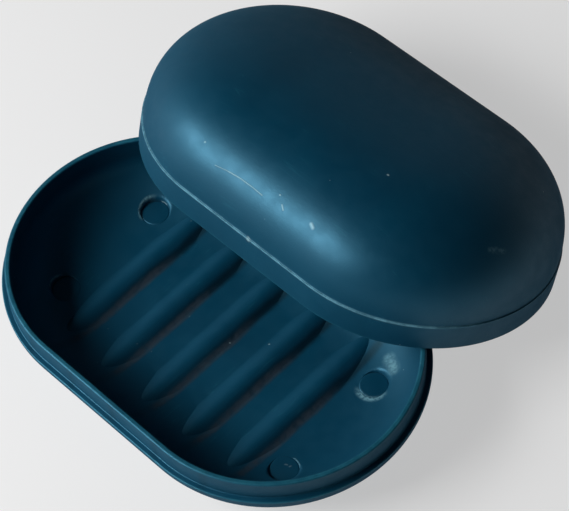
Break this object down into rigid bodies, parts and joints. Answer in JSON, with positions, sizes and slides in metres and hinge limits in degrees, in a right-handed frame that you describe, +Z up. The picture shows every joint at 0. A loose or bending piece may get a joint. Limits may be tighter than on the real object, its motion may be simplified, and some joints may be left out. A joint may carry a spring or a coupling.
{
  "type": "soap box",
  "caption": "Oval travel soap box: ribbed tray with an upright lip and four low round feet, and a lift-off domed lid lying askew on its rim.",
  "frame": {"origin": "under the middle of the whole object's box, on the surface that the tray's feet stand on", "axes": "+Z up; +X along the tray's long side, to the right seen from the open side; +Y from the tray's open side towards the lid that lies behind it"},
  "size_m": [0.1244, 0.1316, 0.0471],
  "materials": {
    "tray_plastic": "satin",
    "lid_plastic": "satin"
  },
  "bodies": {
    "tray": {"base_tray": "tray_plastic"},
    "lid": {"lid": "lid_plastic"}
  },
  "joints": [
    {"name": "lid_lift", "type": "slide", "parent": "tray", "child": "lid", "axis": [0, 0, 1], "range_m": [0, 0.06]}
  ]
}
